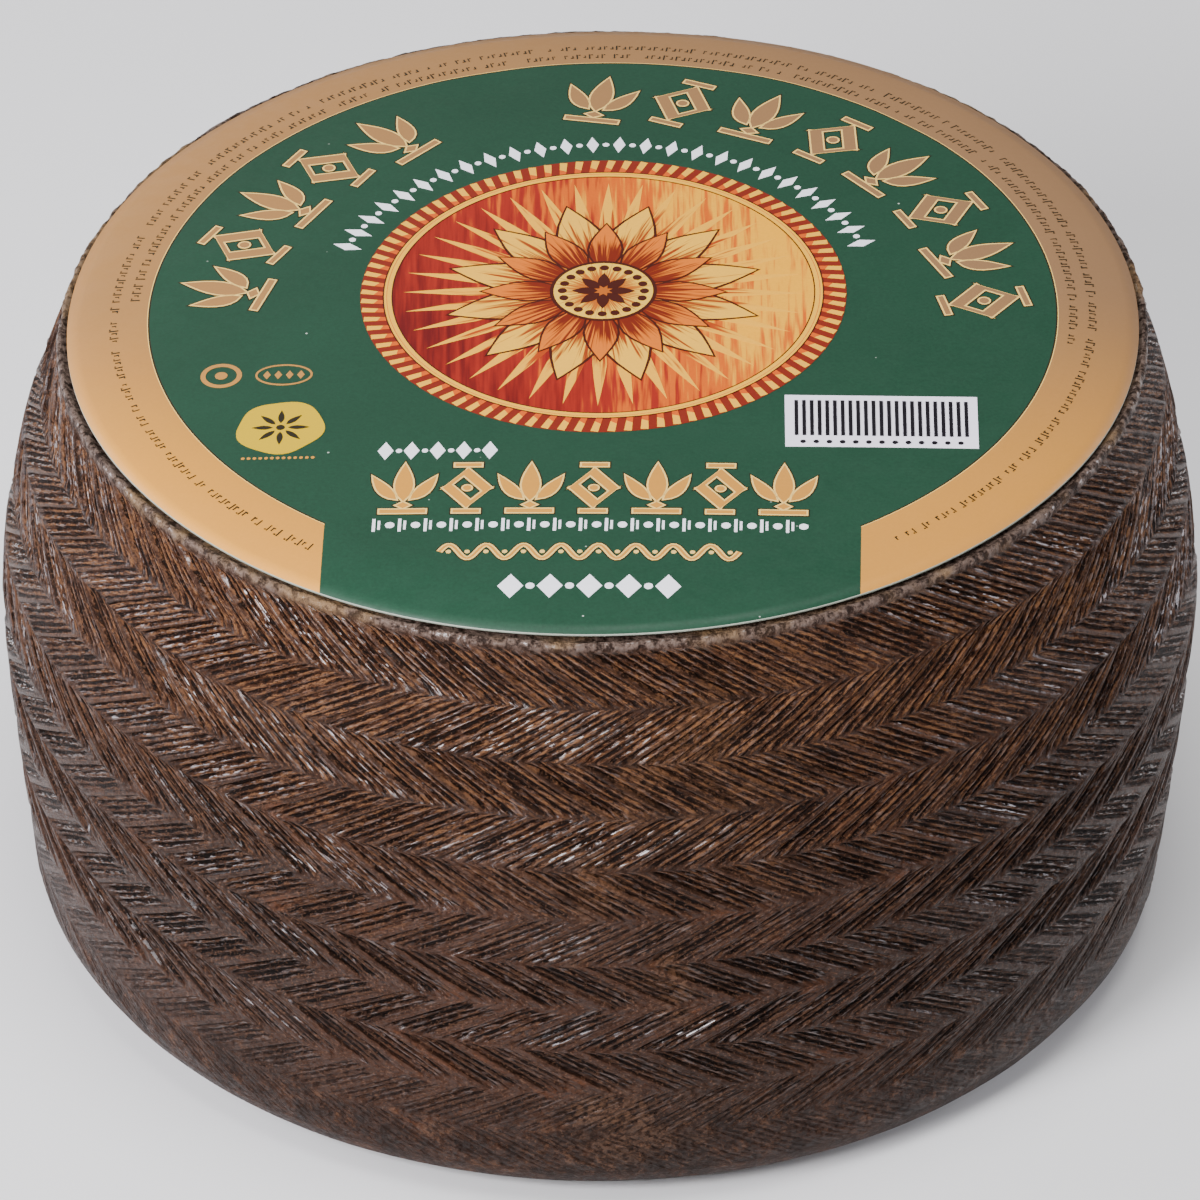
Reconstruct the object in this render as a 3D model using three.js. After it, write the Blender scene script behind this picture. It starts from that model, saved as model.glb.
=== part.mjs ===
// Aged cheese wheel: a pressed wheel with a plaited rind, and a thin round label on its top face.
// Millimetres, +Z up. The origin is the centre of the flat base, and the label reads from the -Y side.
import * as THREE from 'three';

// Wheel, driving sizes
const WHEEL_RADIUS = 97.5;
const BULGE_HEIGHT = 58;
const TOP_HEIGHT = 111;
const CORNER_RADIUS = 12;
const LEAN = 0.5;

// The pressed top face slopes a little: it rises to the back and to the right, as slopes
const RISE_BACK = 0.0055;
const RISE_RIGHT = 0.0154;
const TILT_START = 88;

// How the side falls in from its widest place, above and below it
const UPPER_SIDE = { fall: 9.8, span: 47.6, power: 1.82 };
const LOWER_SIDE = { fall: 4.0, span: 45.8, power: 1.3 };

// Top face: a shallow dome, with a softer edge outside DOME_RADIUS
const TOP_RADIUS = 85.4;
const DOME_RADIUS = 73;
const DOME_FALL = 1.5;
const EDGE_FALL = 1.7;

// Plait pressed into the side: rows of slanted strap prints, with raised webs between them
const ROW_COUNT = 10;
const PLAIT_TOP = 106;
const PLAIT_BOTTOM = 16.2;
const PRINTS_ROUND = 60;
const STRAND_ANGLE = 31;
const PRINT_DEPTH = 1.25;
const ROW_EDGE_DEPTH = 0.3;
const FAINT_DEPTH = 0.35;
const END_MARGIN = 0.2;

// Narrow rough rim between the plait and the top face
const RIM_WIDTH = 1.7;
const RIM_FALL = 0.9;
const RIM_LUMP = 0.35;

// Label
const LABEL_RADIUS = 86;
const LABEL_THICKNESS = 0.4;
const LABEL_GAP = 0.12;
const LABEL_EDGE_LIFT = 0.55;
const LABEL_SEGMENTS = 96;

const COLUMNS = 2 * PRINTS_ROUND;
const ROW_HEIGHT = (PLAIT_TOP - PLAIT_BOTTOM) / ROW_COUNT;
const TURN = 2 * Math.PI;

// Angle that one row's strands cover, so that the mesh columns run along the strands
const ROW_SHEAR = ROW_HEIGHT / Math.tan(THREE.MathUtils.degToRad(STRAND_ANGLE)) / WHEEL_RADIUS;

function seededRandom(seed) {
  let state = seed >>> 0;
  return () => {
    state = (state + 0x6d2b79f5) >>> 0;
    let t = Math.imul(state ^ (state >>> 15), 1 | state);
    t = (t + Math.imul(t ^ (t >>> 7), 61 | t)) ^ t;
    return ((t ^ (t >>> 14)) >>> 0) / 4294967296;
  };
}

// Radius of the side at a height, before any relief, down to the rounded corner of the base
function sideRadius(z) {
  if (z < CORNER_RADIUS) {
    const rise = CORNER_RADIUS - z;
    return baseRadius() + Math.sqrt(CORNER_RADIUS ** 2 - rise ** 2);
  }
  const side = z > BULGE_HEIGHT ? UPPER_SIDE : LOWER_SIDE;
  return WHEEL_RADIUS - side.fall * Math.pow(Math.abs(z - BULGE_HEIGHT) / side.span, side.power);
}

// Radius of the flat base
function baseRadius() {
  return sideRadius(CORNER_RADIUS) - CORNER_RADIUS;
}

// Height of the top face at a radius
function topHeight(radius) {
  const dome = DOME_FALL * (radius / DOME_RADIUS) ** 2;
  const beyond = Math.max(0, radius - DOME_RADIUS) / (LABEL_RADIUS - DOME_RADIUS);
  return TOP_HEIGHT - dome - EDGE_FALL * beyond * beyond;
}

// Point of the uneven wheel from its even form: angle 0 faces -Y, and grows towards +X
function wheelPoint(radius, angle, z) {
  const swell = 1 + 0.0022 * Math.sin(2 * angle + 0.7) + 0.0012 * Math.sin(5 * angle + 2.1);
  const lean = LEAN * THREE.MathUtils.clamp(z / BULGE_HEIGHT - 1, -1, 1);
  const x = radius * swell * Math.sin(angle) + lean;
  const y = -radius * swell * Math.cos(angle);
  const tilted = THREE.MathUtils.smoothstep(z, TILT_START, PLAIT_TOP);
  return [x, y, z + (y * RISE_BACK + x * RISE_RIGHT) * tilted];
}

// Closed skin of rings between two poles, the first at the bottom. A ring's points are seen from
// outside, left to right, and each quad is split along the strands.
function closedSkin(rings, columns, southPole, northPole) {
  const positions = [...southPole];
  for (const ring of rings) {
    positions.push(...ring.flat());
  }
  positions.push(...northPole);
  const vertex = (ring, column) => 1 + ring * columns + (column % columns);
  const last = rings.length - 1;
  const north = positions.length / 3 - 1;
  const faces = [];
  for (let column = 0; column < columns; column += 1) {
    faces.push(0, vertex(0, column + 1), vertex(0, column));
    for (let ring = 0; ring < last; ring += 1) {
      const a = vertex(ring, column);
      const b = vertex(ring, column + 1);
      const c = vertex(ring + 1, column + 1);
      const d = vertex(ring + 1, column);
      faces.push(a, b, c, a, c, d);
    }
    faces.push(vertex(last, column), vertex(last, column + 1), north);
  }
  const geometry = new THREE.BufferGeometry();
  geometry.setAttribute('position', new THREE.Float32BufferAttribute(positions, 3));
  geometry.setIndex(faces);
  geometry.computeVertexNormals();
  return geometry;
}

// Rings of the cheese, from the base to the top face. Even columns are webs, and odd ones are
// strap prints, each with a depth of its own.
function cheeseRings(random) {
  const rings = [];
  const addRing = (radius, z, turn, depthAt) => {
    const ring = [];
    for (let column = 0; column < COLUMNS; column += 1) {
      const angle = TURN * column / COLUMNS + turn;
      ring.push(wheelPoint(radius - depthAt(column), angle, z));
    }
    rings.push(ring);
  };
  const smooth = () => 0;

  // Flat base and the lower half of its rounded corner
  for (const share of [0, 0.1, 0.3]) {
    const z = share * CORNER_RADIUS;
    addRing(sideRadius(z), z, 0, smooth);
  }

  // Plait: each row's prints lean the other way, so the columns swing to and fro
  let turn = 0;
  for (let row = -1; row < ROW_COUNT; row += 1) {
    const faint = row < 0;
    const low = PLAIT_BOTTOM + row * ROW_HEIGHT;
    const leansRight = (ROW_COUNT - row) % 2 === 0;
    const shear = leansRight ? ROW_SHEAR : -ROW_SHEAR;
    const depth = faint ? FAINT_DEPTH : PRINT_DEPTH;
    const depths = Array.from({ length: COLUMNS }, () => depth * (0.65 + 0.6 * random()));
    const printDepth = (column) => (column % 2 === 1 ? depths[column] : 0);
    const edgeDepth = (column) => (column % 2 === 1 && !faint ? ROW_EDGE_DEPTH : 0);
    addRing(sideRadius(low), low, turn, edgeDepth);
    for (const share of [END_MARGIN, 1 - END_MARGIN]) {
      const z = low + share * ROW_HEIGHT;
      addRing(sideRadius(z), z, turn + share * shear, printDepth);
    }
    turn += shear;
  }

  // Rim above the plait: a narrow rough band, then the edge of the top face under the label
  const lumps = Array.from({ length: COLUMNS }, () => RIM_LUMP * random());
  const rimLump = (column) => lumps[column];
  addRing(sideRadius(PLAIT_TOP), PLAIT_TOP, turn, smooth);
  addRing(TOP_RADIUS + RIM_WIDTH, topHeight(TOP_RADIUS) - RIM_FALL, turn, rimLump);
  addRing(TOP_RADIUS, topHeight(TOP_RADIUS), turn, smooth);
  for (const radius of [80, DOME_RADIUS, 40]) {
    addRing(radius, topHeight(radius), turn, smooth);
  }
  return rings;
}

function cheeseGeometry() {
  const rings = cheeseRings(seededRandom(7));
  const [topX, topY] = wheelPoint(0, 0, TOP_HEIGHT);
  return closedSkin(rings, COLUMNS, [0, 0, 0], [topX, topY, TOP_HEIGHT]);
}

// Label: follows the dome at a small gap, and its free edge lifts in soft waves
function labelLift(radius, angle) {
  const free = THREE.MathUtils.smoothstep(radius, 76, LABEL_RADIUS);
  const wave = 0.55 + 0.3 * Math.sin(3 * angle + 0.6) + 0.15 * Math.sin(7 * angle + 1.9);
  return LABEL_GAP + LABEL_EDGE_LIFT * free * wave;
}

function labelRings() {
  const ringAt = (radius, offset) => {
    const ring = [];
    for (let segment = 0; segment < LABEL_SEGMENTS; segment += 1) {
      const angle = TURN * segment / LABEL_SEGMENTS;
      const [x, y, z] = wheelPoint(radius, angle, topHeight(radius));
      ring.push([x, y, z + labelLift(radius, angle) + offset]);
    }
    return ring;
  };
  const radii = [40, DOME_RADIUS, 80, LABEL_RADIUS];
  const underside = radii.map((radius) => ringAt(radius, 0));
  const face = radii.toReversed().map((radius) => ringAt(radius, LABEL_THICKNESS));
  return [...underside, ...face];
}

function labelGeometry() {
  const [x, y] = wheelPoint(0, 0, TOP_HEIGHT);
  const bottom = TOP_HEIGHT + LABEL_GAP;
  return closedSkin(labelRings(), LABEL_SEGMENTS, [x, y, bottom], [x, y, bottom + LABEL_THICKNESS]);
}

function part(name, geometry, material) {
  const mesh = new THREE.Mesh(geometry, material);
  mesh.name = name;
  return mesh;
}

const rind = new THREE.MeshStandardMaterial({ color: 0x483327, roughness: 0.55, metalness: 0 });
const paper = new THREE.MeshStandardMaterial({ color: 0x38604e, roughness: 0.45, metalness: 0 });

const wheel = new THREE.Group();
wheel.name = 'cheese_wheel';
wheel.add(part('cheese', cheeseGeometry(), rind));
wheel.add(part('label', labelGeometry(), paper));

export default wheel;
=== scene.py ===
import math
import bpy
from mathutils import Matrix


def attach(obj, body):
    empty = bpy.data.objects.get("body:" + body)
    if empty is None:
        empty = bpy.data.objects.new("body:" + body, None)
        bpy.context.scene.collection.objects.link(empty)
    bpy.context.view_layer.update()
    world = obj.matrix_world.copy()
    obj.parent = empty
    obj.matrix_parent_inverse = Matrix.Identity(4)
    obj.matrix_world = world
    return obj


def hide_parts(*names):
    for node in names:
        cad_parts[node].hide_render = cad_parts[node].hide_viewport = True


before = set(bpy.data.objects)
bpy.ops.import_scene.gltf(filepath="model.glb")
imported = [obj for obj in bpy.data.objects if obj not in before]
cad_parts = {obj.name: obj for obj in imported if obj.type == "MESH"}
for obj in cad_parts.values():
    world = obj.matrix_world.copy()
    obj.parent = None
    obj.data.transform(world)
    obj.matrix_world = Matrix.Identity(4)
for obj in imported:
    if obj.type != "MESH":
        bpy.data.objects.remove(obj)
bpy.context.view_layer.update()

from types import SimpleNamespace

import bmesh
import bpy
import numpy as np
from mathutils import Vector

MM = 0.001
TURN = 2 * math.pi

# Wheel, in millimetres: the sizes that part.mjs works from
WHEEL_RADIUS = 97.5
BULGE_HEIGHT = 58
TOP_HEIGHT = 111
CORNER_RADIUS = 12
LEAN = 0.5
RISE_BACK = 0.0055
RISE_RIGHT = 0.0154
TILT_START = 88
TOP_RADIUS = 85.4
DOME_RADIUS = 73
DOME_FALL = 1.5
EDGE_FALL = 1.7

# How the side falls in above and below its widest place: fall, span and power
UPPER_SIDE = (9.8, 47.6, 1.82)
LOWER_SIDE = (4.0, 45.8, 1.3)

# How the wheel is out of round: size as a share of the radius, waves round it, and phase
SWELLS = ((0.0022, 2, 0.7), (0.0012, 5, 2.1))

# Plait
ROW_COUNT = 10
PLAIT_TOP = 106
PLAIT_BOTTOM = 16.2
PRINTS_ROUND = 60
STRAND_ANGLE = 31
ROW_HEIGHT = (PLAIT_TOP - PLAIT_BOTTOM) / ROW_COUNT
ROW_SHEAR = ROW_HEIGHT / math.tan(math.radians(STRAND_ANGLE)) / WHEEL_RADIUS
COLUMNS = 24 * PRINTS_ROUND
WELD_DISTANCE = 0.002 * MM

# More than the number of rows, so that no two strands in a column of prints share a random draw
DRAW_STEP = 13.0

# The top face under the label is hidden, and lies this much lower than the solid's
TOP_DROP = 0.3

# Rough rim between the plait and the label, with a hollow under the label's edge: radius and height
RIM_SECTION = [(87.55, 106.8), (87.3, 107.25), (86.8, 107.4), (86.35, 107.0), (TOP_RADIUS, 106.7)]

# Label
LABEL_RADIUS = 86
LABEL_THICKNESS = 0.4
LABEL_GAP = 0.12
LABEL_EDGE_LIFT = 0.55
LABEL_FREE_RADIUS = 76
LABEL_TURN = math.radians(-1.6)
TOP_LEAN = LEAN * (TOP_HEIGHT / BULGE_HEIGHT - 1)

# Dents and lifts in the label: place, spread and height
LABEL_DENTS = ((-17, 67, 4, -0.18), (52, 56, 4, -0.18), (30, 70, 6, 0.15), (-60, 40, 7, 0.12))

# Printed films: their undersides lie in the paper, and FILM is their usual height over it
FILM_LOW = -0.02
FILM = 0.05
BEAD_SIDES = 12
SMALL_SIDES = 48
BADGE_SIDES = 60
LEAF_STEPS = 7

# The three films of a haloed shape, lowest first: how far each reaches past the shape, and its height
HALO_FILMS = (("outline", 0.5, 0.03), ("edge", 0.3, 0.045), ("face", 0, 0.06))
HALO_STRIP_DROP = 0.005

# Gold ring of the label: its inner radius, the pale line inside it, and its two straight ends
RING_INNER = 73.1
RING_LINES = (0.14, 0.4)
RING_GAP = 41.8
RING_GAP_ANGLE = math.radians(36)

# Points of the label: the angles of its columns, and its rings over the green and over the gold
LABEL_COLUMNS = [math.radians(1.5 * step) for step in range(-120, 120)]
GREEN_RADII = [2, 8, 16, 24, 32, 40, 46, 52, 58, 64, 69]
GOLD_STEPS = 6

# Medallion: its middle and radius, how closely its engraved lines run, and the turn of its leaves
MEDALLION = (0, 2.9)
MEDALLION_RADIUS = 39
ENGRAVED_LINES = 26.0
OUTWARD = -math.pi / 2

# Ornaments on the label: the radii of the two curved rows over the medallion, where each straight
# row lies, how many degrees one kind of ring mark lags behind the other, the middles of the single
# marks, and the panel's turn in degrees
MOTIF_ARC_RADIUS = 61.1
WHITE_ARC_RADIUS = 43.9
SHORT_ROW = -40.9
MOTIF_ROW = -50.8
REEL_ROW = -60.3
WAVE_ROW = -67.2
LAST_ROW = -75.7
MARK_LAG = 0.76
PANEL_MIDDLE = (44.8, -32.2)
PANEL_TURN = 1.2
BADGE_MIDDLE = Vector((-49.9, -34.2))
SMALL_RING_MIDDLE = (-60.1, -19.7)
OVAL_MIDDLE = (-50.1, -19.8)

# Noises in the rind's finish, from the broadest to the finest: waves per metre, detail and roughness
RIND_NOISES = {
    "broad": (19.0, 3.0, 0.55),
    "worn": (34.0, 4.0, 0.6),
    "rusty": (75.0, 4.0, 0.65),
    "blots": (260.0, 5.0, 0.8),
    "width": (420.0, 2.0),
    "crumbs": (760.0, 3.0, 0.7),
    "crinkle": (850.0, 2.0),
    "pits": (1100.0, 3.0, 0.65),
    "flecks": (1250.0, 2.0, 0.7),
    "grain": (1700.0, 3.0, 0.65),
    "beads": (1900.0, 1.0),
    "specks": (2300.0, 1.0),
}

# Floor and camera: distances in metres, and the lens in millimetres
FLOOR_HALF = 3.0
CAMERA_ELEVATION = math.radians(35.41)
CAMERA_DISTANCE = 1.663
CAMERA_TARGET = Vector((0, 0, 0.0529))
CAMERA_LENS = 305.1


# The wheel's form

def smoothstep(x, low, high):
    t = np.clip((x - low) / (high - low), 0, 1)
    return t * t * (3 - 2 * t)


def side_radius(z):
    """Radius of the side at a height, down to the rounded corner of the base."""
    if z < CORNER_RADIUS:
        base = side_radius(CORNER_RADIUS) - CORNER_RADIUS
        return base + math.sqrt(CORNER_RADIUS ** 2 - (CORNER_RADIUS - z) ** 2)
    fall, span, power = UPPER_SIDE if z > BULGE_HEIGHT else LOWER_SIDE
    return WHEEL_RADIUS - fall * (abs(z - BULGE_HEIGHT) / span) ** power


def top_height(radius):
    """Height of the top face at a radius, before the tilt."""
    beyond = np.maximum(0, radius - DOME_RADIUS) / (LABEL_RADIUS - DOME_RADIUS)
    return TOP_HEIGHT - DOME_FALL * (radius / DOME_RADIUS) ** 2 - EDGE_FALL * beyond ** 2


def swell(angle):
    """How far out of round the wheel is at an angle, as a factor on its radius."""
    return 1 + sum(size * np.sin(waves * angle + phase) for size, waves, phase in SWELLS)


def wheel_section():
    """Radius and height of each ring, from the middle of the base to the middle of the top."""
    heights = [share * CORNER_RADIUS for share in (0, 0.04, 0.14, 0.32)]
    for row in range(-1, ROW_COUNT):
        shares = (0, 0.33, 0.67) if row < 0 else (0, 0.12, 0.37, 0.63, 0.88)
        heights += [PLAIT_BOTTOM + (row + share) * ROW_HEIGHT for share in shares]
    heights.append(PLAIT_TOP)
    top = [(radius, float(top_height(radius)) - TOP_DROP) for radius in (82, 45, 0)]
    return [(0, 0)] + [(side_radius(z), z) for z in heights] + RIM_SECTION + top


# Node trees: numbers that nodes work out, written as plain arithmetic

class Value:
    """A number, vector or colour that a node tree works out at every point."""

    def __init__(self, tree, socket):
        self.tree = tree
        self.socket = socket

    def math(self, operation, *others):
        return math_node(self.tree, operation, self, *others)

    def __add__(self, other):
        return self.math("ADD", other)

    __radd__ = __add__

    def __mul__(self, other):
        return self.math("MULTIPLY", other)

    __rmul__ = __mul__

    def __sub__(self, other):
        return self.math("SUBTRACT", other)

    def __rsub__(self, other):
        return math_node(self.tree, "SUBTRACT", other, self)

    def __truediv__(self, other):
        return self.math("DIVIDE", other)

    def ramp(self, low, high, start=0.0, end=1.0, smooth=True):
        """Runs from start to end as this value runs from low to high."""
        settings = {"interpolation_type": "SMOOTHSTEP" if smooth else "LINEAR"}
        return new_value(
            self.tree, "ShaderNodeMapRange", settings,
            Value=self, From_Min=low, From_Max=high, To_Min=start, To_Max=end,
        )


def plug(value, socket):
    if isinstance(value, Value):
        value.tree.links.new(value.socket, socket)
    else:
        socket.default_value = value


def new_value(tree, kind, settings=None, output=0, **inputs):
    """An output of a new node of that kind, with the node's inputs plugged by their names."""
    node = tree.nodes.new(kind)
    for key, value in (settings or {}).items():
        setattr(node, key, value)
    for key, value in inputs.items():
        plug(value, node.inputs[key.replace("_", " ")])
    return Value(tree, node.outputs[output])


def math_node(tree, operation, *values):
    node = tree.nodes.new("ShaderNodeMath")
    node.operation = operation
    for socket, value in zip(node.inputs, values):
        plug(value, socket)
    return Value(tree, node.outputs[0])


def split(vector):
    """The x, y and z of a vector value."""
    node = new_value(vector.tree, "ShaderNodeSeparateXYZ", Vector=vector).socket.node
    return [Value(vector.tree, axis) for axis in node.outputs]


def joined(tree, x, y, z):
    return new_value(tree, "ShaderNodeCombineXYZ", X=x, Y=y, Z=z)


def squeezed(vector, upright):
    """The vector with its z taken times upright, which draws a pattern out along z."""
    x, y, z = split(vector)
    return joined(vector.tree, x, y, z * upright)


def noise(vector, scale, detail=2.0, roughness=0.5):
    """Noise from 0 to 1, with scale in waves per metre."""
    return new_value(
        vector.tree, "ShaderNodeTexNoise", Vector=vector, Scale=scale, Detail=detail, Roughness=roughness,
    )


def geometry_tree(name, inputs):
    """A new tree with a geometry in and out, and the named inputs with their first values."""
    tree = bpy.data.node_groups.new(name, "GeometryNodeTree")
    kinds = {float: "NodeSocketFloat", int: "NodeSocketInt", bpy.types.Material: "NodeSocketMaterial"}
    tree.interface.new_socket("Geometry", in_out="INPUT", socket_type="NodeSocketGeometry")
    tree.interface.new_socket("Geometry", in_out="OUTPUT", socket_type="NodeSocketGeometry")
    for label, value in inputs.items():
        tree.interface.new_socket(label, in_out="INPUT", socket_type=kinds[type(value)])
    source = tree.nodes.new("NodeGroupInput")
    values = {label: Value(tree, source.outputs[label]) for label in inputs}
    return tree, Value(tree, source.outputs["Geometry"]), values


def finish_tree(tree, geometry, material):
    """Ends the tree in plain mesh with its material set."""
    real = new_value(tree, "GeometryNodeRealizeInstances", Geometry=geometry)
    finished = new_value(tree, "GeometryNodeSetMaterial", Geometry=real, Material=material)
    out = tree.nodes.new("NodeGroupOutput")
    plug(finished, out.inputs[0])


def grown(obj, tree, inputs):
    """Runs the tree on obj with these input values, and leaves the result as obj's plain mesh."""
    modifier = obj.modifiers.new(tree.name, "NODES")
    modifier.node_group = tree
    for item in tree.interface.items_tree:
        if item.in_out == "INPUT" and item.name in inputs:
            modifier[item.identifier] = inputs[item.name]
    graph = bpy.context.evaluated_depsgraph_get()
    evaluated = obj.evaluated_get(graph)
    mesh = bpy.data.meshes.new_from_object(evaluated, preserve_all_data_layers=True, depsgraph=graph)
    obj.modifiers.clear()
    obj.data = mesh
    return obj


def add_object(name, data):
    obj = bpy.data.objects.new(name, data)
    bpy.context.scene.collection.objects.link(obj)
    return obj


def new_object(name, vertices, edges=(), faces=()):
    mesh = bpy.data.meshes.new(name)
    mesh.from_pydata(vertices, edges, faces)
    return add_object(name, mesh)


# Rind

def plait_pattern(space, turn_share, height, given):
    """Where a place lies in the plait, for the mesh and for the finish alike.

    space is the place before the rows swing, where every strand runs straight up."""
    tree = space.tree
    rows_up = (height - given["Plait bottom"]) / given["Row height"]
    rows_in = rows_up.math("MAXIMUM", -1.0).math("MINIMUM", given["Rows"])
    along = rows_in.math("PINGPONG", 1.0)
    row = (rows_in - 0.001).math("FLOOR")
    leans_right = 1 - row.math("FLOORED_MODULO", 2.0)
    prints = turn_share * given["Prints round"] + given["Row stagger"] * (leans_right - 0.5)
    across = prints.math("FRACT")
    cell = prints.math("FLOOR").math("FLOORED_MODULO", given["Prints round"])

    def chance(draw, low, high, strand_number=0.0):
        """A number from low to high that is the same all over a print, or along one of its strands."""
        vector = joined(tree, cell, row + strand_number * DRAW_STEP, given["Seed"] + draw)
        share = new_value(tree, "ShaderNodeTexWhiteNoise", output="Value", Vector=vector)
        return share * (high - low) + low

    # Strands are uneven in width, and each begins and ends at a place of its own
    wander = noise(squeezed(space, 0.35), 300.0, 2.0) - 0.5
    strand = (across + wander * 0.12) * given["Strands in print"] + chance(5, -0.2, 0.2)
    number = (strand + 0.5).math("FLOOR")
    lower = rows_up.ramp(2.5, 9.0, 1.0, 0.0)
    start = chance(21, -0.03, 0.05, number) + lower * 0.03
    end = chance(22, 0.95, 1.04, number) - across * given["End slant"] * (lower + 0.15)

    # Print: a steep wall on its left, and a floor that rises to the right. The webs between the
    # prints are wider lower down.
    here = across + wander * 0.10
    left_wall = here.ramp(lower * 0.04 + 0.01, lower * 0.06 + 0.10)
    right_wall = here.ramp(0.88 - lower * 0.08, 0.97 - lower * 0.05, 1.0, 0.0)
    ends = (along - start).ramp(0.0, 0.04) * (along - end).ramp(-0.05, 0.0, 1.0, 0.0)
    patch = noise(space, 45.0, 2.0)
    fade = rows_up.ramp(-1.0, 2.2, 0.15, 1.0) * patch.ramp(0.25, 0.6, 0.6, 1.0)
    in_rows = rows_up.ramp(-1.02, -0.9) * (rows_up - given["Rows"]).ramp(-0.04, 0.0, 1.0, 0.0)
    pressed = left_wall * right_wall * ends * fade * in_rows

    # A thin line along each print's lower side, where its wall catches the light; the finish paints it
    # lighter as a painted highlight
    low_side = (here - 0.5) * (leans_right * 2 - 1) + 0.5
    line = low_side.ramp(0.90, 0.92) * low_side.ramp(0.93, 0.96, 1.0, 0.0) * ends * fade * in_rows
    return SimpleNamespace(
        rows_up=rows_up, across=across, along=along, pressed=pressed, in_rows=in_rows, line=line,
        strand=strand, number=number, chance=chance,
    )


def plait_tree(inputs):
    """Turns the wheel's section round into a skin, and presses the plait into its side."""
    tree, section, given = geometry_tree("plaited wheel", inputs)
    ring_count = new_value(
        tree, "GeometryNodeAttributeDomainSize", {"component": "MESH"}, "Point Count", Geometry=section,
    )
    geometry = new_value(
        tree, "GeometryNodeMeshGrid", output="Mesh",
        Size_X=1.0, Size_Y=1.0, Vertices_X=given["Columns"] + 1, Vertices_Y=ring_count,
    )
    place = new_value(tree, "GeometryNodeInputPosition")
    across_grid, up_grid, _ = split(place)
    ring_number = ((up_grid + 0.5) * (ring_count - 1) + 0.25).math("FLOOR")
    picked = new_value(
        tree, "GeometryNodeSampleIndex", {"data_type": "FLOAT_VECTOR", "domain": "POINT"},
        Geometry=section, Value=place, Index=ring_number,
    )
    radius, _, height = split(picked)

    # The rows swing to and fro, so that the mesh's columns run along the strands
    turn_share = across_grid + 0.5
    even_angle = turn_share * TURN
    space = joined(tree, radius * even_angle.math("SINE"), radius * even_angle.math("COSINE") * -1, height)
    plait = plait_pattern(space, turn_share, height, given)
    angle = even_angle + given["Row shear"] * (plait.along - 1)

    floor_depth = (1.0 - plait.across * 0.6) * given["Print depth"] * plait.chance(3, 0.65, 1.15)
    ridge = (plait.strand * TURN).math("COSINE") * plait.chance(23, 0.5, 1.25, plait.number)
    press = (floor_depth - ridge * given["Strand depth"]) * plait.pressed

    # Rough rim above the plait, and a slightly uneven skin all over the side
    rim = height.ramp((PLAIT_TOP - 0.6) * MM, (PLAIT_TOP + 0.7) * MM) * radius.ramp(83.5 * MM, 85.5 * MM)
    rim_rough = noise(squeezed(space, 0.5), 330.0, 3.0, 0.6) - 0.5
    soft = noise(space, 28.0, 2.0) - 0.5
    body = radius.ramp(80 * MM, 88 * MM) * height.ramp(0.0, CORNER_RADIUS / 2 * MM)
    real_radius = radius - press + soft * given["Unevenness"] * body + rim_rough * given["Rim lumps"] * rim

    # Out of round, lean, and the slope of the top
    out_of_round = 1.0
    for size, waves, phase in SWELLS:
        out_of_round = out_of_round + (angle * waves + phase).math("SINE") * size
    lean = (height / (BULGE_HEIGHT * MM) - 1).math("MAXIMUM", -1.0).math("MINIMUM", 1.0) * LEAN * MM
    x = real_radius * out_of_round * angle.math("SINE") + lean
    y = real_radius * out_of_round * angle.math("COSINE") * -1
    tilted = height.ramp(TILT_START * MM, PLAIT_TOP * MM)
    z = height + (y * RISE_BACK + x * RISE_RIGHT) * tilted

    # What the rind's finish reads
    for name, kind, value in (("strand_space", "FLOAT_VECTOR", space), ("rim", "FLOAT", rim)):
        geometry = new_value(
            tree, "GeometryNodeStoreNamedAttribute", {"data_type": kind, "domain": "POINT"},
            Geometry=geometry, Name=name, Value=value,
        )

    # The grid moves last, as all that is worked out above reads where its points lie
    put = new_value(tree, "GeometryNodeSetPosition", Geometry=geometry, Position=joined(tree, x, y, z))
    welded = new_value(tree, "GeometryNodeMergeByDistance", Geometry=put, Distance=WELD_DISTANCE)
    smooth = new_value(tree, "GeometryNodeSetShadeSmooth", Geometry=welded)
    finish_tree(tree, smooth, given["Material"])
    return tree


PLAIT = {
    "Rows": float(ROW_COUNT),
    "Row height": ROW_HEIGHT * MM,
    "Plait bottom": PLAIT_BOTTOM * MM,
    "Row stagger": 0.26,
    "Prints round": float(PRINTS_ROUND),
    "Strands in print": 5.0,
    "End slant": 0.16,
    "Seed": 4.0,
}


def make_rind(material):
    points = [(radius * MM, 0, z * MM) for radius, z in wheel_section()]
    edges = [(i, i + 1) for i in range(len(points) - 1)]
    rind = new_object("rind", points, edges)
    inputs = {
        **PLAIT,
        "Columns": COLUMNS,
        "Row shear": ROW_SHEAR,
        "Print depth": 1.0 * MM,
        "Strand depth": 0.26 * MM,
        "Unevenness": 1.0 * MM,
        "Rim lumps": 1.3 * MM,
        "Material": material,
    }
    return grown(rind, plait_tree(inputs), inputs)


# Label: places on it are in millimetres, u to the right and v away from the reader

def label_height(x, y):
    """Height of the label's printed face over a place on the wheel, in millimetres."""
    angle = np.arctan2(x - TOP_LEAN, -y)
    radius = np.hypot(x - TOP_LEAN, y) / swell(angle)
    wave = 0.55 + 0.3 * np.sin(3 * angle + 0.6) + 0.15 * np.sin(7 * angle + 1.9)
    lift = LABEL_GAP + LABEL_EDGE_LIFT * smoothstep(radius, LABEL_FREE_RADIUS, LABEL_RADIUS) * wave
    dents = sum(
        depth * np.exp(-((x - du) ** 2 + (y - dv) ** 2) / (2 * spread ** 2))
        for du, dv, spread, depth in LABEL_DENTS
    )
    return top_height(radius) + y * RISE_BACK + x * RISE_RIGHT + lift + LABEL_THICKNESS + dents


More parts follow.
